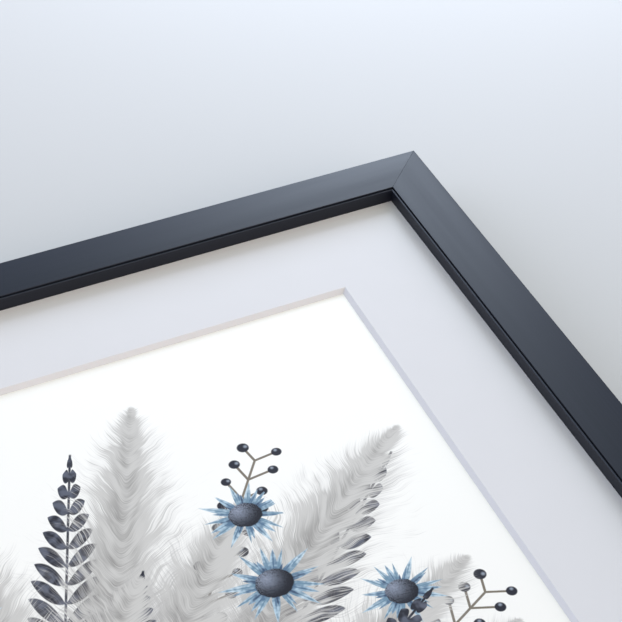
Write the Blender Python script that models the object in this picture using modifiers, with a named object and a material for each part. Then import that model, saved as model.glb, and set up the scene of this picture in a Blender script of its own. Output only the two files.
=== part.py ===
"""A framed picture: a black mitred moulding round a bevelled mount, a print and a backing board.

It lies on its back with its face up, +Z. The picture's width runs along X and its height along Y.
The origin is below the frame's centre, on the surface that its four feet stand on.
"""

import math

import bmesh
import bpy
from mathutils import Matrix, Vector

MM = 0.001

# Gap kept between two pieces that touch.
FIT = 0.3 * MM

# The rebate is the nominal frame size. It holds the mount, the print and the backing.
REBATE_X = 500 * MM
REBATE_Y = 400 * MM

# Section of the moulding, from its outer edge inwards and from its back up to its face.
# A narrow groove parts the face from a low bead, which falls a little towards the lip's inner wall.
RAIL_DEPTH = 20 * MM
BACK_WIDTH = 15 * MM
FACE_WIDTH = 20 * MM
GROOVE_WIDTH = 0.35 * MM
GROOVE_DEPTH = 1.0 * MM
BEAD_WIDTH = 0.65 * MM
BEAD_DROP = 0.6 * MM
BEAD_FALL = 0.15 * MM
LIP_DEPTH = 6.3 * MM
OUTER_ARRIS = 0.5 * MM
INNER_ARRIS = 0.15 * MM
ARRIS_STEPS = 3

# The sheets in the rebate, from the face down, and their play at each edge.
# They have slipped down and to the right by SHEET_SLIP, nearly as far as their play lets them.
MOUNT_THICK = 1.7 * MM
PRINT_THICK = 0.4 * MM
BACKING_THICK = 2.5 * MM
SHEET_PLAY = 1 * MM
SHEET_SLIP = SHEET_PLAY - FIT

# The mount's window where it meets the print. Its bevel leans out by 45 degrees.
WINDOW_X = 400 * MM
WINDOW_Y = 300 * MM

# Steel points that hold the backing. The tang is driven into the rebate's wall.
POINT_WIDTH = 6 * MM
POINT_LENGTH = 9 * MM
POINT_TANG = 5 * MM
POINT_THICK = 0.6 * MM
POINT_ROUND = 1.5 * MM
POINTS_X = 4
POINTS_Y = 3

# Steel wedges that join the mitres from behind.
WEDGE_ARM = 4.5 * MM
WEDGE_THICK = 0.6 * MM
WEDGE_DEPTH = 7 * MM
WEDGE_PLACES = (6 * MM, 12 * MM)

# Saw-tooth hangers on the back of the top rail, and the pins that fix them.
HANGER_LENGTH = 45 * MM
HANGER_WIDTH = 8 * MM
HANGER_THICK = 0.8 * MM
HANGER_RISE = 1.7 * MM
HANGER_EAR = 7 * MM
HANGER_RAMP = 3 * MM
HANGER_SPREAD = 300 * MM
TOOTH_PITCH = 2.5 * MM
TOOTH_DEPTH = 1.2 * MM
PIN_RADIUS = 0.6 * MM
PIN_LENGTH = 8 * MM
PIN_HEAD_RADIUS = 1.6 * MM
PIN_HEAD_THICK = 0.7 * MM
PIN_INSET = 3.5 * MM

# Rubber feet near the four corners of the back.
FOOT_RADIUS = 6 * MM
FOOT_HEIGHT = 3.5 * MM
FOOT_ROUND = 1.5 * MM
FOOT_INSET = 40 * MM

ROUND_STEPS = 24
PIN_STEPS = 12
MERGE = 1e-6

# Heights and outlines that follow from the sizes above.
RAIL_WIDTH = FACE_WIDTH + GROOVE_WIDTH + BEAD_WIDTH
OUTER_X = REBATE_X + 2 * BACK_WIDTH
OUTER_Y = REBATE_Y + 2 * BACK_WIDTH
BACK_Z = FOOT_HEIGHT + FIT
LIP_Z = BACK_Z + RAIL_DEPTH - LIP_DEPTH
MOUNT_Z = LIP_Z - FIT - MOUNT_THICK
PRINT_Z = MOUNT_Z - FIT - PRINT_THICK
BACKING_Z = PRINT_Z - FIT - BACKING_THICK
POINT_Z = BACKING_Z - FIT - POINT_THICK


def start_scene():
    """Empties the scene and returns the collections of the parts and of the cutters."""
    for obj in list(bpy.data.objects):
        bpy.data.objects.remove(obj, do_unlink=True)
    collections = []
    for name in ("framed_picture", "cutters"):
        collection = bpy.data.collections.new(name)
        bpy.context.scene.collection.children.link(collection)
        collections.append(collection)
    return collections


def material(name, colour, roughness, metallic=0.0):
    made = bpy.data.materials.new(name)
    made.use_nodes = True
    shader = made.node_tree.nodes["Principled BSDF"]
    shader.inputs["Base Color"].default_value = (*colour, 1.0)
    shader.inputs["Roughness"].default_value = roughness
    shader.inputs["Metallic"].default_value = metallic
    return made


def placed(name, mesh, where, place=Matrix.Identity(4), finish=None):
    """Links mesh as an object of the collection, set by the matrix place."""
    obj = bpy.data.objects.new(name, mesh)
    obj.matrix_world = place
    where.objects.link(obj)
    if finish and not mesh.materials:
        mesh.materials.append(finish)
    return obj


def as_cutter(obj):
    obj.hide_render = True
    obj.display_type = "WIRE"
    return obj


def outline_mesh(name, points, thickness):
    """The closed outline, in X and Y, made a plate of that thickness about Z = 0."""
    curve = bpy.data.curves.new(name, "CURVE")
    curve.dimensions = "2D"
    curve.fill_mode = "BOTH"
    curve.extrude = thickness / 2
    spline = curve.splines.new("POLY")
    spline.points.add(len(points) - 1)
    for point, (x, y) in zip(spline.points, points):
        point.co = (x, y, 0, 1)
    spline.use_cyclic_u = True
    guide = bpy.data.objects.new(name, curve)
    bpy.context.scene.collection.objects.link(guide)
    bpy.context.view_layer.update()
    graph = bpy.context.evaluated_depsgraph_get()
    mesh = bpy.data.meshes.new_from_object(guide.evaluated_get(graph))
    mesh.name = name
    bpy.data.objects.remove(guide, do_unlink=True)
    bpy.data.curves.remove(curve)
    form = bmesh.new()
    form.from_mesh(mesh)
    bmesh.ops.remove_doubles(form, verts=form.verts, dist=MERGE)
    bmesh.ops.recalc_face_normals(form, faces=form.faces)
    form.to_mesh(mesh)
    form.free()
    return mesh


def box_mesh(name, size):
    form = bmesh.new()
    bmesh.ops.create_cube(form, size=1, matrix=Matrix.Diagonal((*size, 1)))
    mesh = bpy.data.meshes.new(name)
    form.to_mesh(mesh)
    form.free()
    return mesh


def turned(name, profile, steps, where, place, finish):
    """Turns the profile, radius and height from the top down, about Z."""
    mesh = bpy.data.meshes.new(name)
    points = [(radius, 0, height) for radius, height in profile]
    mesh.from_pydata(points, [(n, n + 1) for n in range(len(points) - 1)], [])
    obj = placed(name, mesh, where, place, finish)
    screw = obj.modifiers.new("turn", "SCREW")
    screw.steps = steps
    screw.render_steps = steps
    screw.use_merge_vertices = True
    screw.merge_threshold = MERGE
    return obj


def arc(centre, radius, start, end, steps):
    """Points round centre from one angle to the other, in degrees."""
    angles = [math.radians(start + (end - start) * n / steps) for n in range(steps + 1)]
    return [(centre[0] + radius * math.cos(a), centre[1] + radius * math.sin(a)) for a in angles]


def rounded(corner, radius, start, end):
    """Points that round a corner of the section, whose two sides face the angles start and end."""
    middle = math.radians((start + end) / 2)
    reach = radius / math.cos(math.radians((start - end) / 2))
    centre = (corner[0] - reach * math.cos(middle), corner[1] - reach * math.sin(middle))
    return arc(centre, radius, start, end, ARRIS_STEPS)


def moulding_section():
    """The rail's section: distance in from the outer edge, and height above the back."""
    groove_x = FACE_WIDTH + GROOVE_WIDTH
    groove_z = RAIL_DEPTH - GROOVE_DEPTH
    bead_z = RAIL_DEPTH - BEAD_DROP
    bead_tilt = 90 - math.degrees(math.atan2(BEAD_FALL, BEAD_WIDTH))
    lip_z = RAIL_DEPTH - LIP_DEPTH
    return [
        (0, 0),
        *rounded((0, RAIL_DEPTH), OUTER_ARRIS, 180, 90),
        *rounded((FACE_WIDTH, RAIL_DEPTH), INNER_ARRIS, 90, 0),
        (FACE_WIDTH, groove_z),
        (groove_x, groove_z),
        *rounded((groove_x, bead_z), INNER_ARRIS, 180, bead_tilt),
        *rounded((RAIL_WIDTH, bead_z - BEAD_FALL), INNER_ARRIS, bead_tilt, 0),
        (RAIL_WIDTH, lip_z),
        (BACK_WIDTH, lip_z),
        (BACK_WIDTH, 0),
    ]


def mitred_mesh(name, length):
    """A length of moulding whose ends are cut at 45 degrees, set back by half the gap of the joint."""
    mesh = outline_mesh(name, moulding_section(), length)
    set_back = FIT / 2 * math.sqrt(2)
    for vertex in mesh.vertices:
        end = math.copysign(length / 2 - vertex.co.x - set_back, vertex.co.z)
        vertex.co.z = end
    return mesh


def side_matrix(inward, outer_size):
    """Sets X inwards, Y up and Z along the rail, from the middle of its outer back edge."""
    up = Vector((0, 0, 1))
    along = inward.cross(up)
    turn = Matrix((inward, up, along)).transposed().to_4x4()
    return Matrix.Translation(-inward * outer_size / 2 + up * BACK_Z) @ turn


SIDES = {
    "top": (Vector((0, -1, 0)), OUTER_Y, OUTER_X, POINTS_X),
    "bottom": (Vector((0, 1, 0)), OUTER_Y, OUTER_X, POINTS_X),
    "left": (Vector((1, 0, 0)), OUTER_X, OUTER_Y, POINTS_Y),
    "right": (Vector((-1, 0, 0)), OUTER_X, OUTER_Y, POINTS_Y),
}


def make_rails(parts, finish):
    rails = {}
    for side, (inward, across, length, _count) in SIDES.items():
        name = f"rail_{side}"
        rails[side] = placed(name, mitred_mesh(name, length), parts, side_matrix(inward, across), finish)
    return rails


def cut(obj, tools):
    """Subtracts every object of a collection of cutters."""
    boolean = obj.modifiers.new("cut", "BOOLEAN")
    boolean.operation = "DIFFERENCE"
    boolean.operand_type = "COLLECTION"
    boolean.collection = tools
    boolean.solver = "EXACT"


def make_tools(cutters):
    """One collection of cutters for each rail."""
    tools = {}
    for side in SIDES:
        tools[side] = bpy.data.collections.new(f"cutters_{side}")
        cutters.children.link(tools[side])
    return tools


def sheet(name, thickness, bottom, parts, finish):
    """A sheet that lies in the rebate, with its underside at that height."""
    size = (REBATE_X - 2 * SHEET_PLAY, REBATE_Y - 2 * SHEET_PLAY, thickness)
    place = Matrix.Translation((SHEET_SLIP, -SHEET_SLIP, bottom + thickness / 2))
    return placed(name, box_mesh(name, size), parts, place, finish)


def window_mesh(name):
    """A block about the middle of the mount's thickness, with sides that lean out by 45 degrees."""
    mesh = box_mesh(name, (WINDOW_X, WINDOW_Y, 2 * MOUNT_THICK))
    for vertex in mesh.vertices:
        lean = vertex.co.z + MOUNT_THICK / 2
        vertex.co.x += lean * math.copysign(1, vertex.co.x)
        vertex.co.y += lean * math.copysign(1, vertex.co.y)
    return mesh


def make_mount(parts, cutters, finish):
    mount = sheet("mount_board", MOUNT_THICK, MOUNT_Z, parts, finish)
    tool = bpy.data.collections.new("cutters_mount")
    cutters.children.link(tool)
    as_cutter(placed("cut_window", window_mesh("cut_window"), tool, mount.matrix_world.copy()))
    cut(mount, tool)


def point_outline():
    """A point in plan, with the rebate's wall at X = 0: a rounded blade at +X and a tang at -X."""
    half = POINT_WIDTH / 2
    end = POINT_LENGTH - POINT_ROUND
    return [
        (-POINT_TANG, 0),
        (-POINT_TANG / 2, -half),
        *arc((end, -half + POINT_ROUND), POINT_ROUND, -90, 0, ARRIS_STEPS),
        *arc((end, half - POINT_ROUND), POINT_ROUND, 0, 90, ARRIS_STEPS),
        (-POINT_TANG / 2, half),
    ]


def make_points(parts, tools, finish):
    """Points along each rebate wall, each with its tang in a slot."""
    blade = outline_mesh("point", point_outline(), POINT_THICK)
    slot_size = (POINT_TANG + 2 * FIT, POINT_WIDTH + 2 * FIT, POINT_THICK + 2 * FIT)
    slot = box_mesh("cut_point", slot_size)
    for side, (inward, across, length, count) in SIDES.items():
        along = inward.cross(Vector((0, 0, 1)))
        turn = Matrix((inward, -along, Vector((0, 0, 1)))).transposed().to_4x4()
        wall = -inward * (across / 2 - BACK_WIDTH)
        pitch = (length - 2 * BACK_WIDTH) / count
        for n in range(count):
            spot = wall + along * pitch * (n - (count - 1) / 2)
            spot.z = POINT_Z + POINT_THICK / 2
            placed(f"point_{side}_{n + 1}", blade, parts, Matrix.Translation(spot) @ turn, finish)
            middle = spot - inward * POINT_TANG / 2
            place = Matrix.Translation(middle) @ turn
            as_cutter(placed(f"cut_point_{side}_{n + 1}", slot, tools[side], place))


def wedge_outline(arm, thick, low):
    """Two arms at a right angle, from a bend at (low, low)."""
    inner = low + thick
    return [(low, low), (arm, low), (arm, inner), (inner, inner), (inner, arm), (low, arm)]


CORNERS = {
    "top_right": ("top", "right", 0),
    "top_left": ("top", "left", 90),
    "bottom_left": ("bottom", "left", 180),
    "bottom_right": ("bottom", "right", 270),
}


def make_wedges(parts, tools, finish):
    """Wedges across each mitre, flush with the back, with an arm in each rail."""
    wedge = outline_mesh("wedge", wedge_outline(WEDGE_ARM, WEDGE_THICK, 0), WEDGE_DEPTH)
    slot_outline = wedge_outline(WEDGE_ARM + FIT, WEDGE_THICK + 2 * FIT, -FIT)
    slot = outline_mesh("cut_wedge", slot_outline, WEDGE_DEPTH + 2 * FIT)
    for corner, (across, down, degrees) in CORNERS.items():
        turn = Matrix.Rotation(math.radians(degrees), 4, "Z")
        sign_x = 1 if down == "right" else -1
        sign_y = 1 if across == "top" else -1
        for n, inset in enumerate(WEDGE_PLACES):
            x = sign_x * (OUTER_X / 2 - inset)
            y = sign_y * (OUTER_Y / 2 - inset)
            place = Matrix.Translation((x, y, BACK_Z + WEDGE_DEPTH / 2)) @ turn
            placed(f"wedge_{corner}_{n + 1}", wedge, parts, place, finish)
            for side in (across, down):
                as_cutter(placed(f"cut_wedge_{corner}_{side}_{n + 1}", slot, tools[side], place))


def hanger_section():
    """The hanger from its edge: two ears on the rail and a strip that stands off it, downwards."""
    half = HANGER_LENGTH / 2
    ear = half - HANGER_EAR
    strip = ear - HANGER_RAMP
    near = [(-half, 0), (-ear, 0), (-strip, -HANGER_RISE), (strip, -HANGER_RISE), (ear, 0), (half, 0)]
    far = [(x, y - HANGER_THICK) for x, y in reversed(near)]
    return near + far


def tooth_outline():
    """A saw edge that is cut from the hanger's lower side, open downwards."""
    count = int((HANGER_LENGTH - 2 * (HANGER_EAR + HANGER_RAMP)) / TOOTH_PITCH)
    left = -count * TOOTH_PITCH / 2
    points = []
    for n in range(count):
        points.append((left + n * TOOTH_PITCH, 0))
        points.append((left + (n + 0.5) * TOOTH_PITCH, TOOTH_DEPTH))
    points.append((-left, 0))
    return [*points, (-left, -TOOTH_DEPTH), (left, -TOOTH_DEPTH)]


def pin_profile():
    """The pin from its tip, in the rail, down to its domed head, which holds the hanger's ear."""
    under_ear = -FIT - HANGER_THICK - FIT
    return [
        (0, PIN_LENGTH),
        (PIN_RADIUS, PIN_LENGTH - 2 * PIN_RADIUS),
        (PIN_RADIUS, under_ear),
        (PIN_HEAD_RADIUS, under_ear),
        (PIN_HEAD_RADIUS, under_ear - PIN_HEAD_THICK / 2),
        (PIN_HEAD_RADIUS / 2, under_ear - PIN_HEAD_THICK),
        (0, under_ear - PIN_HEAD_THICK),
    ]


def cylinder_mesh(name, radius, low, high):
    form = bmesh.new()
    bmesh.ops.create_cone(
        form,
        cap_ends=True,
        segments=PIN_STEPS,
        radius1=radius,
        radius2=radius,
        depth=high - low,
        matrix=Matrix.Translation((0, 0, (low + high) / 2)),
    )
    mesh = bpy.data.meshes.new(name)
    form.to_mesh(mesh)
    form.free()
    return mesh


def make_hangers(parts, cutters, tools, plate_finish, pin_finish):
    """Saw-tooth hangers under the top rail, teeth towards the picture's lower edge."""
    strip = outline_mesh("hanger", hanger_section(), HANGER_WIDTH)
    teeth = outline_mesh("cut_teeth", tooth_outline(), 2 * HANGER_RISE + 2 * HANGER_THICK)
    ear_hole = cylinder_mesh("cut_ear", PIN_RADIUS + FIT, -HANGER_THICK - 2 * FIT, FIT)
    pilot = cylinder_mesh("cut_pilot", PIN_RADIUS + FIT, -FIT, PIN_LENGTH + FIT)
    stand = Matrix.Rotation(math.radians(90), 4, "X")
    rail_y = OUTER_Y / 2 - BACK_WIDTH / 2
    for name, sign in (("left", -1), ("right", 1)):
        tool = bpy.data.collections.new(f"cutters_hanger_{name}")
        cutters.children.link(tool)
        centre = Vector((sign * HANGER_SPREAD / 2, rail_y, BACK_Z - FIT))
        hanger = placed(f"hanger_{name}", strip, parts, Matrix.Translation(centre) @ stand, plate_finish)
        edge = centre + Vector((0, -HANGER_WIDTH / 2, -HANGER_RISE))
        as_cutter(placed(f"cut_teeth_{name}", teeth, tool, Matrix.Translation(edge)))
        for n, end in enumerate((-1, 1)):
            pin_x = end * (HANGER_LENGTH / 2 - PIN_INSET)
            ear = Matrix.Translation(centre + Vector((pin_x, 0, 0)))
            as_cutter(placed(f"cut_ear_{name}_{n + 1}", ear_hole, tool, ear))
            pin_place = Matrix.Translation((centre.x + pin_x, rail_y, BACK_Z))
            as_cutter(placed(f"cut_pilot_{name}_{n + 1}", pilot, tools["top"], pin_place))
            turned(f"pin_{name}_{n + 1}", pin_profile(), PIN_STEPS, parts, pin_place, pin_finish)
        cut(hanger, tool)


def foot_profile():
    """A rubber foot from its glued top down to the surface, with a rounded lower edge."""
    rounded = arc((FOOT_RADIUS - FOOT_ROUND, FOOT_ROUND), FOOT_ROUND, 0, -90, ARRIS_STEPS)
    return [(0, FOOT_HEIGHT), (FOOT_RADIUS, FOOT_HEIGHT), *rounded, (0, 0)]


def make_feet(parts, finish):
    for name, sign_x, sign_y in (
        ("top_right", 1, 1),
        ("top_left", -1, 1),
        ("bottom_left", -1, -1),
        ("bottom_right", 1, -1),
    ):
        x = sign_x * (OUTER_X / 2 - FOOT_INSET)
        y = sign_y * (OUTER_Y / 2 - BACK_WIDTH / 2)
        turned(f"foot_{name}", foot_profile(), ROUND_STEPS, parts, Matrix.Translation((x, y, 0)), finish)


def main():
    parts, cutters = start_scene()
    black = material("satin_black_wood", (0.022, 0.025, 0.031), 0.38)
    card = material("white_mount_board", (0.78, 0.79, 0.83), 0.85)
    paper = material("print_paper", (0.93, 0.93, 0.92), 0.7)
    fibreboard = material("brown_fibreboard", (0.30, 0.19, 0.11), 0.8)
    steel = material("zinc_plated_steel", (0.55, 0.56, 0.58), 0.35, metallic=1.0)
    brass = material("brass_plated_steel", (0.68, 0.52, 0.24), 0.35, metallic=1.0)
    rubber = material("black_rubber", (0.03, 0.03, 0.03), 0.8)

    rails = make_rails(parts, black)
    tools = make_tools(cutters)
    make_mount(parts, cutters, card)
    sheet("print_sheet", PRINT_THICK, PRINT_Z, parts, paper)
    sheet("backing_board", BACKING_THICK, BACKING_Z, parts, fibreboard)
    make_points(parts, tools, steel)
    make_wedges(parts, tools, steel)
    make_hangers(parts, cutters, tools, brass, steel)
    make_feet(parts, rubber)
    for side, rail in rails.items():
        cut(rail, tools[side])


main()
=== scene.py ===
"""The looks of the framed picture: its painted moulding, its mount, printed design, back and fittings.

It lies face up on a pale floor, seen from the camera's place in the photograph, past its lower left.
"""

import math

import bmesh
import bpy
from mathutils import Matrix, Vector


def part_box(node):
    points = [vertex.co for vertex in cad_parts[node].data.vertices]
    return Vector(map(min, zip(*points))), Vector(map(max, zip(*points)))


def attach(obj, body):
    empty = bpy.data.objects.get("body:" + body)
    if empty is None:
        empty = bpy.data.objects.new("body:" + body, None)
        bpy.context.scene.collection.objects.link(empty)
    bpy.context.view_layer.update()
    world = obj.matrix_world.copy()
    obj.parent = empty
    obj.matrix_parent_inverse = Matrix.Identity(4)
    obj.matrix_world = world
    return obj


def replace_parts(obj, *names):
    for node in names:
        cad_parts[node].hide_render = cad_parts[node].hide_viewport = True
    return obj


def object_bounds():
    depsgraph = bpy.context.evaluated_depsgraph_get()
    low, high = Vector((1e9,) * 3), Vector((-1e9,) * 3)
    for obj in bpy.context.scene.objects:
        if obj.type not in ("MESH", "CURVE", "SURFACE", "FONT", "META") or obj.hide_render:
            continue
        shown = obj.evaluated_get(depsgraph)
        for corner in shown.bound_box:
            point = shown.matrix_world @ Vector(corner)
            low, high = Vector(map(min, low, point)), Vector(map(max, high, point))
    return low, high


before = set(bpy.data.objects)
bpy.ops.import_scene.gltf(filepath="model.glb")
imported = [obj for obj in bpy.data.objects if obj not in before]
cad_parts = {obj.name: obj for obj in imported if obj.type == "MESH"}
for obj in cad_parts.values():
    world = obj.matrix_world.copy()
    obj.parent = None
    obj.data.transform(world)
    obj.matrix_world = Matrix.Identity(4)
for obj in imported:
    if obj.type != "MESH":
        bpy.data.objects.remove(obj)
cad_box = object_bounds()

MM = 0.001

# Section of the moulding, as in the solids. A narrow groove parts its face from a low bead.
FACE_WIDTH = 20 * MM
BACK_WIDTH = 15 * MM
GROOVE_WIDTH = 0.35 * MM
GROOVE_DEPTH = 1.0 * MM
BEAD_WIDTH = 0.65 * MM
BEAD_DROP = 0.6 * MM
BEAD_FALL = 0.15 * MM
OUTER_ARRIS = 0.5 * MM
INNER_ARRIS = 0.15 * MM
ARC_STEPS = 8
SMOOTH_BELOW = math.radians(30)

# The opening of the mount's window where it meets the print, and the round of its cut edge.
OPENING_X = 400 * MM
OPENING_Y = 300 * MM
MOUNT_ARRIS = 0.1 * MM

# The printed design: stems fan out from a tie and reach farthest towards the print's corners.
TIE_Y = -100 * MM
FAN_HALF_ANGLE = math.radians(73)
SPRAY_HALF_WIDTH = 184 * MM
REACH_VARIES = 25 * MM
CORNER_STRETCH = 0.2
STEM_JITTER = 0.3
STEM_HALF_WIDTH = 0.45 * MM

# The stems' tails below the tie: the longest, the shortest as a share of it, and how they gather.
TAIL = 34 * MM
TAIL_SHORTEST = 0.7
TAIL_GATHER = 2.2

# Plumes start at a share of their stem. Their strands lean out from a parting, curl and drift, and
# STRAND_CURL is in 1 / metre.
PLUME_START = 0.34
PLUME_START_VARIES = 0.1
PLUME_HALF_WIDTH = 25 * MM
PLUME_BEND = 30 * MM
PLUME_FADE = 2 * MM
PLUME_PARTING = 1.5 * MM
STRAND_LEAN = 1.7
STRAND_CURL = 17
STRAND_DRIFT = 17 * MM

# Leaves and berries start at a share of their stem, in pairs that lean up along it.
GROWTH_LEAN = 0.9
LEAF_START = 0.45
LEAF_REACH = 13 * MM
LEAF_PAIRS = 15
BERRY_START = 0.62
BERRY_PAIRS = 9
BERRY_RADIUS = 1.9 * MM
BERRY_VARIES = 0.5 * MM
BERRY_STALK = 4 * MM
BERRY_STALK_VARIES = 4 * MM
BERRY_STEM_STOP = 4 * MM

# Thistles lie scattered, but in some cells there is none. The head is a share of the radius.
THISTLE_SPACING = 46 * MM
THISTLE_SCATTER = 0.6
THISTLE_GAPS = 0.30
THISTLE_LOWEST = 30 * MM
THISTLE_LIMIT = 172 * MM
THISTLE_RADIUS = 16 * MM
THISTLE_VARIES = 4 * MM
THISTLE_HEAD = 0.36
THISTLE_DOME = 8 * MM
FLORETS_PER_METRE = 2400

# The turns of twine round the tie.
TWINE_PITCH = 1.3 * MM
TWINE_SLOPE = 0.12
TWINE_HALF_HEIGHT = 4.0 * MM
TWINE_HALF_WIDTH = 6.2 * MM

# Colours of the print. A pair goes from its first colour, mostly the darker, to its second.
PAPER = ((0.985, 0.965, 0.93), (0.955, 0.935, 0.90))
PLUME_STEM = (0.42, 0.36, 0.27)
PLUME_HAZE = (0.40, 0.38, 0.38)
PLUME_FLUFF = ((0.26, 0.245, 0.232), (0.62, 0.60, 0.575))
LEAF_GREY = ((0.018, 0.018, 0.028), (0.11, 0.12, 0.16))
BERRY_STEM = (0.20, 0.17, 0.13)
BERRY_BLACK = ((0.016, 0.016, 0.026), (0.32, 0.36, 0.43))
THISTLE_BLACK = ((0.006, 0.006, 0.012), (0.33, 0.37, 0.47))
TWINE_BROWN = ((0.10, 0.08, 0.055), (0.55, 0.48, 0.37))

# The rubber feet and the hangers' pins, as in the solids, with a finer hollow, taper and dome. The
# dome's first ring lies PIN_CROWN_ANGLE degrees off the pin's axis.
FOOT_RADIUS = 6 * MM
FOOT_HEIGHT = 3.5 * MM
FOOT_ROUND = 1.5 * MM
FOOT_TAPER = 0.2 * MM
FOOT_HOLLOW_RADIUS = 1.8 * MM
FOOT_HOLLOW_DEPTH = 0.6 * MM
FOOT_ARRIS = 0.2 * MM
PIN_RADIUS = 0.6 * MM
PIN_HEAD_RADIUS = 1.6 * MM
PIN_HEAD_THICK = 0.7 * MM
PIN_DOME = 0.5 * MM
PIN_CROWN_ANGLE = 2
PIN_TIP_RADIUS = PIN_RADIUS / 10
PIN_TIP_LENGTH = 2 * PIN_RADIUS
TURN_STEPS = 48

# The rounded edges of the stamped steel fittings, and the angle from which an edge is rounded.
METAL_ARRIS = 0.12 * MM
METAL_EDGE_ANGLE = math.radians(40)
WELD_WITHIN = 0.001 * MM

# The mitres stay open by JOINT, and pressed sheets lie TOUCH apart, less than the solids' gap.
JOINT = 0.1 * MM
TOUCH = 0.03 * MM

# Places read from the frame.
LOW, HIGH = cad_box
FACE_Z = HIGH.z
BACK_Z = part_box("rail_top")[0].z
RAIL_DEPTH = FACE_Z - BACK_Z
RAIL_WIDTH = FACE_WIDTH + GROOVE_WIDTH + BEAD_WIDTH
OUTER_X = HIGH.x - LOW.x
OUTER_Y = HIGH.y - LOW.y
MOUNT_LOW, MOUNT_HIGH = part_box("mount_board")
SHEET_CENTRE = (MOUNT_LOW + MOUNT_HIGH) / 2
SHEET_HALF_X = (MOUNT_HIGH.x - MOUNT_LOW.x) / 2
SHEET_HALF_Y = (MOUNT_HIGH.y - MOUNT_LOW.y) / 2

# The camera, from the outer top right corner of the frame's face: metres, degrees and a lens in mm.
CAMERA_FROM_CORNER = Vector((-0.28229, -0.53055, 0.44167))
CAMERA_AZIMUTH = 23.675
CAMERA_DOWN = 41.816
CAMERA_ROLL = -0.30
CAMERA_LENS = 97.81

# Light: a soft window beyond the top right corner, low over the floor, and a pale room all round.
# The window's azimuth is clockwise from +Y. Angles are in degrees and lengths in metres.
WINDOW_AZIMUTH = 25.6
WINDOW_ELEVATION = 28.0
WINDOW_DISTANCE = 0.7
WINDOW_SIZE = (0.29, 0.37)
WINDOW_RADIANCE = 12.8
WINDOW_COLOUR = (0.88, 1.0, 1.16)

# The room's red, green and blue light, and how it grows towards +X, +Y and +Z and with X times Y.
# It is dim overhead, dim and bluest beyond the top right corner, and brightest near the floor to
# both sides of that.
ROOM_RADIANCE = (1.77, 1.70, 2.10)
ROOM_GROWS_X = (0.01, -0.04, -0.10)
ROOM_GROWS_Y = (-0.30, -0.22, -0.08)
ROOM_GROWS_Z = (-0.81, -0.77, -0.90)
ROOM_GROWS_XY = (-1.03, -1.08, -0.78)

# The floor's side, in metres, and its colour.
FLOOR_SIDE = 30
FLOOR_COLOUR = (0.59, 0.59, 0.60)

# Sockets of the colour Mix node.
MIX_SHARE = 0
MIX_FIRST = 6
MIX_SECOND = 7
MIX_RESULT = 2


class Field:
    """A value that varies over a surface, as a socket of a node tree, open to plain arithmetic."""

    def __init__(self, tree, socket):
        self.tree = tree
        self.socket = socket

    def math(self, operation, *others):
        """What a Math node makes of this field and the other fields or numbers."""
        node = self.tree.nodes.new("ShaderNodeMath")
        node.operation = operation
        for socket, item in zip(node.inputs, (self, *others)):
            feed(self.tree, socket, item)
        return Field(self.tree, node.outputs[0])

    def held(self, low, high):
        """This field, kept between low and high."""
        return self.math("MAXIMUM", low).math("MINIMUM", high)

    def __add__(self, other):
        return self.math("ADD", other)

    __radd__ = __add__

    def __sub__(self, other):
        return self.math("SUBTRACT", other)

    def __rsub__(self, other):
        return self.math("MULTIPLY_ADD", -1.0, other)

    def __mul__(self, other):
        return self.math("MULTIPLY", other)

    def __truediv__(self, other):
        return self.math("DIVIDE", other)

    def __pow__(self, other):
        return self.math("POWER", other)

    def __abs__(self):
        return self.math("ABSOLUTE")


def feed(tree, socket, item):
    """Links a field to a socket, or sets the socket to a plain value."""
    if isinstance(item, Field):
        tree.links.new(item.socket, socket)
    else:
        socket.default_value = item


def ramp(field, low, high):
    """A smooth step: 0 up to where the field is at low, and 1 from where it is at high."""
    node = field.tree.nodes.new("ShaderNodeMapRange")
    node.interpolation_type = "SMOOTHSTEP"
    for name, item in (("Value", field), ("From Min", low), ("From Max", high)):
        feed(field.tree, node.inputs[name], item)
    return Field(field.tree, node.outputs["Result"])


def split(vector):
    """The x, y and z of a vector, or the red, green and blue of a colour, as three fields."""
    node = vector.tree.nodes.new("ShaderNodeSeparateXYZ")
    feed(vector.tree, node.inputs["Vector"], vector)
    return [Field(vector.tree, socket) for socket in node.outputs]


def join(tree, x, y, z=0.0):
    """The vector of these fields or numbers."""
    node = tree.nodes.new("ShaderNodeCombineXYZ")
    for socket, item in zip(node.inputs, (x, y, z)):
        feed(tree, socket, item)
    return Field(tree, node.outputs["Vector"])


def scaled(vector, scale):
    """The vector with its x, y and z each multiplied by its own scale."""
    node = vector.tree.nodes.new("ShaderNodeMapping")
    feed(vector.tree, node.inputs["Vector"], vector)
    node.inputs["Scale"].default_value = scale
    return Field(vector.tree, node.outputs["Vector"])


def noise(vector, scale=1.0, detail=2.0, roughness=0.5, distortion=0.0):
    """Soft noise about 0.5, with about scale features to each unit of the vector."""
    node = vector.tree.nodes.new("ShaderNodeTexNoise")
    feed(vector.tree, node.inputs["Vector"], vector)
    node.inputs["Scale"].default_value = scale
    node.inputs["Detail"].default_value = detail
    node.inputs["Roughness"].default_value = roughness
    node.inputs["Distortion"].default_value = distortion
    return Field(vector.tree, node.outputs[0])


def mixed(tree, share, first, second):
    """The first colour where share is 0 and the second where it is 1."""
    node = tree.nodes.new("ShaderNodeMix")
    node.data_type = "RGBA"
    feed(tree, node.inputs[MIX_SHARE], share)
    for index, item in ((MIX_FIRST, first), (MIX_SECOND, second)):
        feed(tree, node.inputs[index], item if isinstance(item, Field) else (*item, 1.0))
    return Field(tree, node.outputs[MIX_RESULT])


def new_material(name):
    """A new material, its node tree and its shader."""
    material = bpy.data.materials.new(name)
    material.use_nodes = True
    return material, material.node_tree, material.node_tree.nodes["Principled BSDF"]


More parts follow.
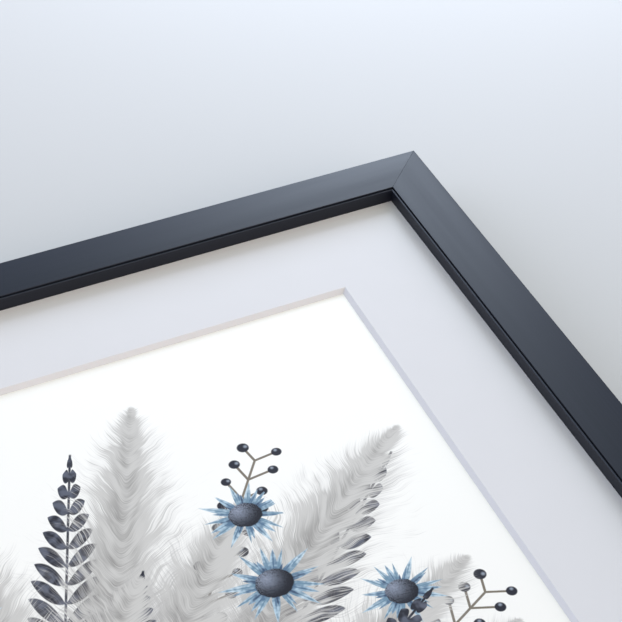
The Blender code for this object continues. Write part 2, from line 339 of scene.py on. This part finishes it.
def place_on(tree, output="Object"):
    """Where a point of the surface is: in the piece's own frame, in metres, for Object."""
    return Field(tree, tree.nodes.new("ShaderNodeTexCoord").outputs[output])


def set_look(tree, shader, colour, roughness, height=None, relief=0.0):
    """Gives the shader its colour and roughness, and a bump: a height of 1 stands relief metres proud."""
    feed(tree, shader.inputs["Base Color"], colour if isinstance(colour, Field) else (*colour, 1.0))
    feed(tree, shader.inputs["Roughness"], roughness)
    if height is not None:
        bump = tree.nodes.new("ShaderNodeBump")
        bump.inputs["Strength"].default_value = 1.0
        bump.inputs["Distance"].default_value = relief
        feed(tree, bump.inputs["Height"], height)
        tree.links.new(bump.outputs["Normal"], shader.inputs["Normal"])


def moulding_paint():
    """Satin black paint on fine-grained wood, with a painted highlight along the bead.

    The grain runs along the rail, which is Z in its own frame.
    """
    material, tree, shader = new_material("moulding_paint")
    where = place_on(tree)
    grain = noise(scaled(where, (1400, 1400, 14)), detail=3, roughness=0.6)
    broad = noise(scaled(where, (160, 160, 9)))
    colour = mixed(tree, ramp(grain, 0.3, 0.75), (0.002, 0.004, 0.009), (0.005, 0.007, 0.014))
    across, height = split(where)[:2]
    # Along the bead's top the paint is made paler: a painted highlight for the light the bead catches.
    bead_top = RAIL_DEPTH - BEAD_DROP - BEAD_FALL
    bead_highlight = ramp(across, FACE_WIDTH + GROOVE_WIDTH / 2, FACE_WIDTH + GROOVE_WIDTH)
    bead_highlight = bead_highlight * ramp(height, bead_top - INNER_ARRIS, bead_top)
    colour = mixed(tree, bead_highlight, colour, (0.022, 0.026, 0.040))
    roughness = 0.51 + (grain - 0.5) * 0.08 + (broad - 0.5) * 0.08
    set_look(tree, shader, colour, roughness, grain * 1.5 + broad * 1.5, 0.005 * MM)
    shader.inputs["IOR"].default_value = 1.39
    return material


def mount_card():
    """Cool white card with a fine tooth, slightly darker in its core, where it is cut at a bevel."""
    material, tree, shader = new_material("mount_card")
    where = place_on(tree)
    facing = split(Field(tree, tree.nodes.new("ShaderNodeNewGeometry").outputs["True Normal"]))[2]
    tooth = noise(where, 2600, detail=3, roughness=0.7)
    cloud = noise(where, 60, detail=3)
    face = mixed(tree, cloud, (0.708, 0.700, 0.722), (0.727, 0.719, 0.742))
    core = mixed(tree, tooth, (0.646, 0.641, 0.657), (0.682, 0.677, 0.693))
    colour = mixed(tree, ramp(abs(facing), 0.8, 0.9), core, face)
    set_look(tree, shader, colour, 0.85, tooth, 0.012 * MM)
    shader.inputs["Specular IOR Level"].default_value = 0.25
    return material


def distance(x, y):
    """How far x, y is from 0, 0."""
    return (x * x + y * y).math("SQRT")


def random_numbers(tree, cell, seed):
    """Three numbers between 0 and 1 that belong to a cell."""
    node = tree.nodes.new("ShaderNodeTexWhiteNoise")
    node.noise_dimensions = "2D"
    feed(tree, node.inputs["Vector"], join(tree, cell, seed))
    return split(Field(tree, node.outputs["Color"]))


def scattered_points(vector, scale, scatter):
    """A node about the nearest of many points, one scattered in each square of side 1 / scale."""
    node = vector.tree.nodes.new("ShaderNodeTexVoronoi")
    node.voronoi_dimensions = "2D"
    node.inputs["Scale"].default_value = scale
    node.inputs["Randomness"].default_value = scatter
    feed(vector.tree, node.inputs["Vector"], vector)
    return node


def fan(tree, x, y, degrees, shift, seed, reach):
    """Stems of about that reach that fan out from the tie, one in each cell of that many degrees.

    Gives the way across and along the cell's stem, its end, 1 or 0 for a cell inside or outside
    the fan, and random numbers. Below the tie, the stems' tails gather.
    """
    side = (y - TIE_Y).math("SIGN")
    gather = side * ((1 - TAIL_GATHER) / 2) + (1 + TAIL_GATHER) / 2
    turn = (x * side).math("ARCTAN2", (y - TIE_Y) * side) * gather
    step = math.radians(degrees)
    cell = (turn / step + (0.5 + shift)).math("FLOOR")
    chance = random_numbers(tree, cell, seed)
    middle = (cell - shift) * step + (chance[0] - 0.5) * step * STEM_JITTER
    local = turn - middle
    away = distance(x, y - TIE_Y)
    within = ramp(abs(middle), FAN_HALF_ANGLE, FAN_HALF_ANGLE - 0.01)
    room = abs(middle.math("SINE")).math("MAXIMUM", 0.1) ** -1.0 * SPRAY_HALF_WIDTH
    stretch = abs((middle * 2).math("SINE")) * CORNER_STRETCH + (1 - CORNER_STRETCH / 2)
    end = (chance[1] * REACH_VARIES + reach) * stretch
    across = away * local.math("SINE") / gather
    return across, away * local.math("COSINE") * side, end.math("MINIMUM", room), within, chance


def stem(across, along, end, chance):
    """The cover of a stem from its cut foot, below the tie, up to end."""
    width = ramp(abs(across), STEM_HALF_WIDTH * 1.4, STEM_HALF_WIDTH * 0.6)
    foot = along + (chance * (1 - TAIL_SHORTEST) + TAIL_SHORTEST) * TAIL
    return width * ramp(foot, -0.5 * MM, 0.5 * MM) * ramp(end - along, 0.0, 1 * MM)


def plumes(tree, picture, x, y, degrees, shift, seed, reach):
    """Paints a fan of soft grass plumes over the picture.

    A plume bends aside towards its tip, and is broadest a third of the way up. Its strands stand
    out at the edge, and are lighter to the right, towards the tip and at the edge.
    """
    across, along, end, within, chance = fan(tree, x, y, degrees, shift, seed, reach)
    start = end * (chance[2] * PLUME_START_VARIES + PLUME_START)
    share = ((along - start) / (end - start)).held(0.0, 1.0)
    side = across - share * share * (chance[2] - 0.5) * PLUME_BEND
    outline = share ** 0.35 * (1.0 - share) ** 0.7 * 1.6
    edge = abs(side) / (outline.math("MAXIMUM", 0.01) * PLUME_HALF_WIDTH)
    drift = noise(join(tree, x * 45, y * 45, seed + 9)) - 0.5
    parting = (side * side + PLUME_PARTING ** 2).math("SQRT")
    rise = along - parting * STRAND_LEAN + parting * parting * STRAND_CURL + drift * STRAND_DRIFT
    strand = noise(join(tree, rise * 1400, side * 90, seed), roughness=0.6) - 0.5
    tuft = noise(join(tree, rise * 150, side * 130, seed + 5), detail=1) - 0.5
    fluff = strand * (edge * 1.5 + 0.9) + tuft * 1.3 - edge
    here = within * ramp(along, start, start + PLUME_FADE) * ramp(end - along, 0.0, PLUME_FADE)
    light = ramp(strand * 1.2 + tuft * 1.4 + side * 9 + share * 0.25 + edge * 0.2, -0.45, 0.5)
    picture = mixed(tree, stem(across, along, start, chance[2]) * within, picture, PLUME_STEM)
    picture = mixed(tree, ramp(fluff, -1.5, -0.7) * here * 0.2, picture, PLUME_HAZE)
    return mixed(tree, ramp(fluff, -0.95, -0.4) * here, picture, mixed(tree, light, *PLUME_FLUFF))


def paired(across, along, start, end, pairs):
    """Splits the stem from start to end into pairs of side growths that lean up along it.

    Gives the share of that length below a growth's foot, the growth's number, and how far to
    either side of the growth's middle line a point lies, as a share of the growths' spacing.
    """
    root = (along - abs(across) * GROWTH_LEAN - start) / (end - start)
    pair = root * pairs
    return root, pair.math("FLOOR"), pair.math("FRACT") - 0.5


def on_stretch(root, soft):
    """1 for growths whose foot is on the stretch that bears them, and 0 for those beyond it."""
    return ramp(root, 0.0, soft) * ramp(root, 1.0, 1.0 - soft)


def sprigs(tree, picture, x, y, degrees, shift, seed, reach):
    """Paints a fan of dark stems with paired leaves over the picture, longest a third of the way up."""
    across, along, end, within, chance = fan(tree, x, y, degrees, shift, seed, reach)
    root, pair, aside = paired(across, along, end * LEAF_START, end, LEAF_PAIRS)
    length = (root.held(0.0, 1.0) ** 0.6 * math.pi).math("SINE") * LEAF_REACH
    share = (abs(across) / length.math("MAXIMUM", 0.1 * MM)).math("MINIMUM", 1.0)
    off_rib = abs(aside) * 2
    leaf = ramp((share * math.pi).math("SINE").math("MAXIMUM", 0.0) ** 0.7 - off_rib, 0.05, 0.2)
    leaf = leaf * on_stretch(root, 0.02)
    cover = (leaf + stem(across, along, end, chance[2])).math("MINIMUM", 1.0) * within
    tone = noise(join(tree, x * 300, y * 300, pair * 3.7), detail=1)
    colour = mixed(tree, ramp(tone - off_rib * 0.2, 0.3, 0.65), *LEAF_GREY)
    return mixed(tree, cover, picture, colour)


def berries(tree, picture, x, y, degrees, shift, seed, reach):
    """Paints a fan of stems with paired, shiny dark berries over the picture."""
    across, along, end, within, chance = fan(tree, x, y, degrees, shift, seed, reach)
    start = end * BERRY_START
    root, pair, aside = paired(across, along, start, end, BERRY_PAIRS)
    growth = random_numbers(tree, pair + across.math("SIGN") * 20, seed)
    beyond = abs(across) - (growth[0] * BERRY_STALK_VARIES + BERRY_STALK)
    size = growth[1] * BERRY_VARIES + BERRY_RADIUS
    above = aside * (end - start) / BERRY_PAIRS + beyond * GROWTH_LEAN
    bearing = on_stretch(root, 0.01)
    stalk = ramp(abs(aside), 0.09, 0.05) * ramp(beyond, 0.1 * MM, -0.1 * MM) * bearing
    stalk = stalk.math("MAXIMUM", stem(across, along, end - BERRY_STEM_STOP, chance[2])) * within
    picture = mixed(tree, stalk, picture, BERRY_STEM)
    shine = ramp(distance(beyond + size * 0.3, above - size * 0.35) / size, 0.5, 0.0)
    berry = ramp(distance(beyond, above) / size, 1.05, 0.85) * bearing
    return mixed(tree, berry * within, picture, mixed(tree, shine, *BERRY_BLACK))


def star(turn, radius, spikes, length, taper):
    """The cover of a star of pointed bracts of about that length, and how far off its rib a point is."""
    spike = turn * (spikes / math.tau)
    off_rib = abs(spike.math("FRACT") - 0.5) * 2
    tip = (spike.math("FLOOR") * 2.4).math("SINE") * 0.09 + length
    return ramp(tip - off_rib ** taper * 0.7 - radius, 0.0, 0.05), off_rib


def thistles(tree, picture, x, y, seed, nearest, farthest):
    """Paints pale blue thistles with dark heads over the picture, between two reaches from the tie."""
    cell = join(tree, x / THISTLE_SPACING + seed, y / THISTLE_SPACING + seed)
    nearby = scattered_points(cell, 1.0, THISTLE_SCATTER)
    place = split(Field(tree, nearby.outputs["Position"]))
    centre_x = (place[0] - seed) * THISTLE_SPACING
    centre_y = (place[1] - seed) * THISTLE_SPACING
    chance = split(Field(tree, nearby.outputs["Color"]))
    dx = x - centre_x
    dy = y - centre_y
    reach = distance(centre_x, centre_y - TIE_Y)
    present = ramp(chance[0], THISTLE_GAPS, THISTLE_GAPS + 0.01)
    present = present * ramp(centre_y - TIE_Y, THISTLE_LOWEST, THISTLE_LOWEST + MM)
    present = present * ramp(reach, nearest, nearest + MM) * ramp(reach, farthest + MM, farthest)
    present = present * ramp(abs(centre_x), THISTLE_LIMIT + MM, THISTLE_LIMIT)
    radius = distance(dx, dy * 1.1) / (chance[1] * THISTLE_VARIES + THISTLE_RADIUS)
    turn = dy.math("ARCTAN2", dx) + chance[2] * math.tau
    shade = noise(join(tree, x * 500, y * 500, seed), detail=1) - 0.5
    for spikes, length, taper, near, far in (
        (13, 0.95, 0.75, (0.16, 0.27, 0.37), (0.62, 0.74, 0.82)),
        (10, 0.78, 0.9, (0.10, 0.18, 0.28), (0.48, 0.63, 0.74)),
        (7, 0.60, 1.0, (0.05, 0.09, 0.16), (0.30, 0.44, 0.57)),
    ):
        bract, off_rib = star(turn + spikes, radius, spikes, length, taper)
        tone = ramp(radius / length + shade - ramp(off_rib, 0.16, 0.02) * 0.3, 0.3, 1.0)
        picture = mixed(tree, bract * present, picture, mixed(tree, tone, near, far))
    florets = scattered_points(join(tree, dx, dy), FLORETS_PER_METRE, 1.0)
    dome = distance(dx / THISTLE_DOME + 0.25, dy / THISTLE_DOME - 0.35)
    floret = ramp(Field(tree, florets.outputs["Distance"]) + dome, 1.35, 0.1)
    head = ramp(THISTLE_HEAD + shade * 0.06 - radius, 0.0, 0.03) * present
    return mixed(tree, head, picture, mixed(tree, floret, *THISTLE_BLACK))


def twine(tree, picture, x, y):
    """Paints the tie: a few turns of twine round the stems."""
    slope = y - TIE_Y + x * TWINE_SLOPE
    off_turn = abs((slope / TWINE_PITCH).math("FRACT") - 0.5)
    fibre = noise(join(tree, x * 900 + slope * 1500, slope * 300), detail=1)
    cover = ramp(abs(slope), TWINE_HALF_HEIGHT, TWINE_HALF_HEIGHT - 0.2 * MM)
    cover = cover * ramp(abs(x) + off_turn * MM, TWINE_HALF_WIDTH, TWINE_HALF_WIDTH - 0.3 * MM)
    light = ramp(fibre - off_turn * 0.9 - x * 30, -0.1, 0.55)
    return mixed(tree, cover, picture, mixed(tree, light, *TWINE_BROWN))


def printed_spray():
    """White paper printed with a generic spray of dried grasses, leaves, berries and thistles."""
    material, tree, shader = new_material("print_paper")
    where = place_on(tree)
    x, y = split(where)[:2]
    tooth = noise(where, 3000)
    picture = mixed(tree, ramp(x - y, -0.1, 0.35), *PAPER)
    picture = sprigs(tree, picture, x, y, degrees=26, shift=0.25, seed=3, reach=215 * MM)
    picture = plumes(tree, picture, x, y, degrees=23, shift=0.0, seed=11, reach=215 * MM)
    picture = berries(tree, picture, x, y, degrees=27, shift=0.8, seed=2, reach=200 * MM)
    picture = plumes(tree, picture, x, y, degrees=24, shift=0.5, seed=23, reach=180 * MM)
    picture = thistles(tree, picture, x, y, seed=4, nearest=110 * MM, farthest=205 * MM)
    picture = sprigs(tree, picture, x, y, degrees=31, shift=0.1, seed=8, reach=155 * MM)
    picture = plumes(tree, picture, x, y, degrees=29, shift=0.2, seed=31, reach=135 * MM)
    picture = twine(tree, picture, x, y)
    set_look(tree, shader, picture, 0.6 + tooth * 0.15, tooth, 0.006 * MM)
    shader.inputs["Specular IOR Level"].default_value = 0.3
    return material


def fibreboard():
    """Raw brown board: short fibres pressed flat, with pale and dark specks."""
    material, tree, shader = new_material("fibreboard")
    where = place_on(tree)
    fibres = noise(scaled(where, (700, 260, 700)), detail=4, roughness=0.65, distortion=0.6)
    cloud = noise(where, 18, detail=3)
    specks = ramp(noise(where, 1500, detail=1), 0.66, 0.74)
    brown = mixed(tree, fibres, (0.20, 0.115, 0.062), (0.36, 0.235, 0.140))
    brown = mixed(tree, cloud * 0.4, brown, (0.27, 0.165, 0.095))
    colour = mixed(tree, specks * 0.5, brown, (0.50, 0.38, 0.26))
    set_look(tree, shader, colour, 0.72 + fibres * 0.2, fibres, 0.05 * MM)
    return material


def bare_metal(name, dark, light, roughness):
    """Plated sheet steel with a rolled grain and faint stains."""
    material, tree, shader = new_material(name)
    where = place_on(tree)
    rolled = noise(scaled(where, (250, 2500, 2500)))
    stain = noise(where, 240, detail=3)
    roughness = roughness + (rolled - 0.5) * 0.2
    set_look(tree, shader, mixed(tree, stain, dark, light), roughness, rolled, 0.01 * MM)
    shader.inputs["Metallic"].default_value = 1.0
    return material


def black_rubber():
    """Matt black rubber with a faint grain."""
    material, tree, shader = new_material("black_rubber")
    where = place_on(tree)
    grain = noise(where, 1800)
    colour = mixed(tree, noise(where, 200), (0.020, 0.020, 0.021), (0.040, 0.040, 0.041))
    set_look(tree, shader, colour, 0.7 + grain * 0.2, grain, 0.02 * MM)
    return material


def arc(centre, radius, start, end):
    """Points round centre from one angle to the other, in degrees."""
    angles = [math.radians(start + (end - start) * n / ARC_STEPS) for n in range(ARC_STEPS + 1)]
    return [(centre[0] + radius * math.cos(a), centre[1] + radius * math.sin(a)) for a in angles]


def rounded(corner, radius, start, end):
    """Points that round a corner of the section, whose two sides face the angles start and end."""
    middle = math.radians((start + end) / 2)
    reach = radius / math.cos(math.radians((start - end) / 2))
    centre = (corner[0] - reach * math.cos(middle), corner[1] - reach * math.sin(middle))
    return arc(centre, radius, start, end)


def moulding_section():
    """The rail's section: distance in from the outer edge, and height above the back."""
    groove_x = FACE_WIDTH + GROOVE_WIDTH
    groove_z = RAIL_DEPTH - GROOVE_DEPTH
    bead_z = RAIL_DEPTH - BEAD_DROP
    bead_tilt = 90 - math.degrees(math.atan2(BEAD_FALL, BEAD_WIDTH))
    lip_z = MOUNT_HIGH.z + TOUCH - BACK_Z
    return [
        (0, 0),
        *rounded((0, RAIL_DEPTH), OUTER_ARRIS, 180, 90),
        *rounded((FACE_WIDTH, RAIL_DEPTH), INNER_ARRIS, 90, 0),
        (FACE_WIDTH, groove_z),
        (groove_x, groove_z),
        *rounded((groove_x, bead_z), INNER_ARRIS, 180, bead_tilt),
        *rounded((RAIL_WIDTH, bead_z - BEAD_FALL), INNER_ARRIS, bead_tilt, 0),
        (RAIL_WIDTH, lip_z),
        (BACK_WIDTH, lip_z),
        (BACK_WIDTH, 0),
    ]


def as_piece(form, name, place, finish):
    """Makes an object of the form, smooth where it turns by less than SMOOTH_BELOW."""
    bmesh.ops.recalc_face_normals(form, faces=form.faces)
    mesh = bpy.data.meshes.new(name)
    form.to_mesh(mesh)
    form.free()
    mesh.shade_smooth()
    mesh.set_sharp_from_angle(angle=SMOOTH_BELOW)
    mesh.materials.append(finish)
    piece = bpy.data.objects.new(name, mesh)
    piece.matrix_world = place
    bpy.context.scene.collection.objects.link(piece)
    return piece


def mitred_rail(name, length, place, finish):
    """A length of moulding, cut at 45 degrees at both ends, in its own frame: X inwards, Y up, Z along."""
    form = bmesh.new()
    set_back = JOINT / 2 * math.sqrt(2)
    rings = []
    for sign in (-1, 1):
        ring = [form.verts.new((x, y, sign * (length / 2 - x - set_back))) for x, y in moulding_section()]
        rings.append(ring)
    first, last = rings
    form.faces.new(first)
    form.faces.new(reversed(last))
    for n in range(len(first)):
        form.faces.new((first[n - 1], last[n - 1], last[n], first[n]))
    return as_piece(form, name, place, finish)


def make_rails(finish):
    """Stand for the four plain rails, with finer rounded edges."""
    up = Vector((0, 0, 1))
    for side, inward, across, length in (
        ("top", Vector((0, -1, 0)), OUTER_Y, OUTER_X),
        ("bottom", Vector((0, 1, 0)), OUTER_Y, OUTER_X),
        ("left", Vector((1, 0, 0)), OUTER_X, OUTER_Y),
        ("right", Vector((-1, 0, 0)), OUTER_X, OUTER_Y),
    ):
        turn = Matrix((inward, up, inward.cross(up))).transposed().to_4x4()
        place = Matrix.Translation(-inward * across / 2 + up * BACK_Z) @ turn
        piece = mitred_rail(f"moulding_{side}", length, place, finish)
        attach(piece, "root")
        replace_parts(piece, f"rail_{side}")


def corner_ring(form, half_x, half_y, z):
    """New vertices at the corners of a level rectangle about the origin."""
    corners = ((1, 1), (-1, 1), (-1, -1), (1, -1))
    return [form.verts.new((x * half_x, y * half_y, z)) for x, y in corners]


def set_sheet(form, name, finish, low):
    """Makes the form a piece whose frame's origin is the sheets' middle, at the height low."""
    place = Matrix.Translation((SHEET_CENTRE.x, SHEET_CENTRE.y, low))
    piece = as_piece(form, name, place, finish)
    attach(piece, "root")
    return piece


def make_mount(finish):
    """Stands for the plain mount: a card whose window is cut at a bevel with a faintly rounded edge."""
    form = bmesh.new()
    thick = MOUNT_HIGH.z - MOUNT_LOW.z
    rings = [corner_ring(form, SHEET_HALF_X, SHEET_HALF_Y, z) for z in (0, thick)]
    for inset, z in (*rounded((thick, thick), MOUNT_ARRIS, 90, 135), (0, 0)):
        rings.append(corner_ring(form, OPENING_X / 2 + inset, OPENING_Y / 2 + inset, z))
    for n, ring in enumerate(rings):
        last = rings[n - 1]
        for k in range(4):
            form.faces.new((last[k - 1], ring[k - 1], ring[k], last[k]))
    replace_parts(set_sheet(form, "mount_card", finish, MOUNT_LOW.z), "mount_board")


def make_print(finish):
    """Stands for the plain print: a sheet of paper pressed up against the mount."""
    form = bmesh.new()
    sheet_low, sheet_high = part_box("print_sheet")
    thick = sheet_high.z - sheet_low.z
    low, high = [corner_ring(form, SHEET_HALF_X, SHEET_HALF_Y, z) for z in (0, thick)]
    form.faces.new(low)
    form.faces.new(high)
    for k in range(4):
        form.faces.new((low[k - 1], low[k], high[k], high[k - 1]))
    bottom = MOUNT_LOW.z - TOUCH - thick
    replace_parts(set_sheet(form, "print_paper", finish, bottom), "print_sheet")


def turned_piece(node, profile, finish):
    """Stands for a small round node: a profile, turned about Z, of radius and height above its foot."""
    low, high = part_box(node)
    form = bmesh.new()
    angles = [math.tau * n / TURN_STEPS for n in range(TURN_STEPS)]
    rings = []
    for radius, z in profile:
        rings.append([form.verts.new((radius * math.cos(a), radius * math.sin(a), z)) for a in angles])
    form.faces.new(rings[0])
    form.faces.new(rings[-1])
    for lower, upper in zip(rings, rings[1:]):
        for n in range(TURN_STEPS):
            form.faces.new((lower[n - 1], lower[n], upper[n], upper[n - 1]))
    place = Matrix.Translation(((low.x + high.x) / 2, (low.y + high.y) / 2, low.z))
    piece = as_piece(form, f"{node}_turned", place, finish)
    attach(piece, "root")
    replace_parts(piece, node)


def make_feet(finish):
    """Stand for the four feet, each with a small moulded hollow under it."""
    ceiling = FOOT_HOLLOW_DEPTH - FOOT_ARRIS
    side = FOOT_RADIUS - FOOT_TAPER
    profile = [
        (FOOT_HOLLOW_RADIUS / 4, FOOT_HOLLOW_DEPTH),
        *arc((FOOT_HOLLOW_RADIUS - FOOT_ARRIS, ceiling), FOOT_ARRIS, 90, 0),
        *arc((FOOT_HOLLOW_RADIUS + FOOT_ARRIS, FOOT_ARRIS), FOOT_ARRIS, 180, 270),
        *arc((side - FOOT_ROUND, FOOT_ROUND), FOOT_ROUND, 270, 360),
        (FOOT_RADIUS, FOOT_HEIGHT),
    ]
    for corner in ("top_left", "top_right", "bottom_left", "bottom_right"):
        turned_piece(f"foot_{corner}", profile, finish)


def make_pins(finish):
    """Stand for the hangers' pins, each with a domed head."""
    dome = (PIN_HEAD_RADIUS ** 2 + PIN_DOME ** 2) / (2 * PIN_DOME)
    rim = math.degrees(math.asin(PIN_HEAD_RADIUS / dome)) - 90
    for name in ("left_1", "left_2", "right_1", "right_2"):
        low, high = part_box(f"pin_{name}")
        length = high.z - low.z
        profile = [
            *arc((0, dome), dome, PIN_CROWN_ANGLE - 90, rim),
            (PIN_HEAD_RADIUS, PIN_HEAD_THICK),
            (PIN_RADIUS, PIN_HEAD_THICK),
            (PIN_RADIUS, length - PIN_TIP_LENGTH),
            (PIN_TIP_RADIUS, length),
        ]
        turned_piece(f"pin_{name}", profile, finish)


def soften(node):
    """Rounds the node's edges a little, as stamped and plated metal has them."""
    weld = node.modifiers.new("weld", "WELD")
    weld.merge_threshold = WELD_WITHIN
    bevel = node.modifiers.new("bevel", "BEVEL")
    bevel.width = METAL_ARRIS
    bevel.segments = 2
    bevel.limit_method = "ANGLE"
    bevel.angle_limit = METAL_EDGE_ANGLE


def dress(prefix, finish):
    """Gives the finish to each node of the frame whose name starts with prefix."""
    for name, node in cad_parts.items():
        if name.startswith(prefix):
            node.data.materials.clear()
            node.data.materials.append(finish)


def make_floor():
    """The plain pale floor, a hair below the feet."""
    bpy.ops.mesh.primitive_plane_add(size=FLOOR_SIDE)
    floor = bpy.context.object
    floor.location.z = -TOUCH
    floor.name = "studio_floor"
    material, tree, shader = new_material("pale_floor")
    set_look(tree, shader, FLOOR_COLOUR, 0.9)
    shader.inputs["Specular IOR Level"].default_value = 0.2
    floor.data.materials.append(material)


def make_window():
    """A soft panel of light that faces the frame's top right corner, out of the camera's sight."""
    corner = Vector((HIGH.x, HIGH.y, FACE_Z))
    azimuth = math.radians(WINDOW_AZIMUTH)
    elevation = math.radians(WINDOW_ELEVATION)
    flat = Vector((math.sin(azimuth), math.cos(azimuth), 0))
    direction = flat * math.cos(elevation) + Vector((0, 0, math.sin(elevation)))
    light = bpy.data.lights.new("window", "AREA")
    light.shape = "RECTANGLE"
    light.size, light.size_y = WINDOW_SIZE
    light.energy = WINDOW_RADIANCE * math.pi * light.size * light.size_y
    light.color = WINDOW_COLOUR
    lamp = bpy.data.objects.new("window", light)
    lamp.location = corner + direction * WINDOW_DISTANCE
    lamp.rotation_euler = direction.to_track_quat("Z", "Y").to_euler()
    lamp.visible_camera = False
    bpy.context.scene.collection.objects.link(lamp)


def make_room():
    """Soft light from all round, whose strength and colour change with its direction."""
    world = bpy.data.worlds.new("pale_room")
    world.use_nodes = True
    tree = world.node_tree
    x, y, z = split(place_on(tree, "Generated"))
    colour = []
    for radiance, to_x, to_y, to_z, to_xy in zip(
        ROOM_RADIANCE, ROOM_GROWS_X, ROOM_GROWS_Y, ROOM_GROWS_Z, ROOM_GROWS_XY
    ):
        growth = x * to_x + y * to_y + z * to_z + x * y * to_xy + 1.0
        colour.append((growth * radiance).math("MAXIMUM", 0.0))
    feed(tree, tree.nodes["Background"].inputs["Color"], join(tree, *colour))
    bpy.context.scene.world = world


def make_camera():
    """The camera, at its place in the photograph."""
    camera = bpy.data.objects.new("camera", bpy.data.cameras.new("camera"))
    camera.data.lens = CAMERA_LENS
    corner = Vector((HIGH.x, HIGH.y, FACE_Z))
    camera.matrix_world = (
        Matrix.Translation(corner + CAMERA_FROM_CORNER)
        @ Matrix.Rotation(math.radians(-CAMERA_AZIMUTH), 4, "Z")
        @ Matrix.Rotation(math.radians(90 - CAMERA_DOWN), 4, "X")
        @ Matrix.Rotation(math.radians(CAMERA_ROLL), 4, "Z")
    )
    bpy.context.scene.collection.objects.link(camera)
    bpy.context.scene.camera = camera


make_camera()
make_window()
make_room()
make_floor()
make_rails(moulding_paint())
make_mount(mount_card())
make_print(printed_spray())
dress("backing_board", fibreboard())
zinc = bare_metal("zinc_plate", dark=(0.48, 0.49, 0.51), light=(0.62, 0.63, 0.65), roughness=0.36)
for fitting in ("point", "wedge"):
    dress(fitting, zinc)
brass = bare_metal("brass_plate", dark=(0.58, 0.42, 0.18), light=(0.74, 0.58, 0.28), roughness=0.34)
dress("hanger", brass)
for name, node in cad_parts.items():
    if name.startswith(("point", "wedge", "hanger")):
        soften(node)
make_pins(zinc)
make_feet(black_rubber())
bpy.context.scene.view_settings.view_transform = "Standard"
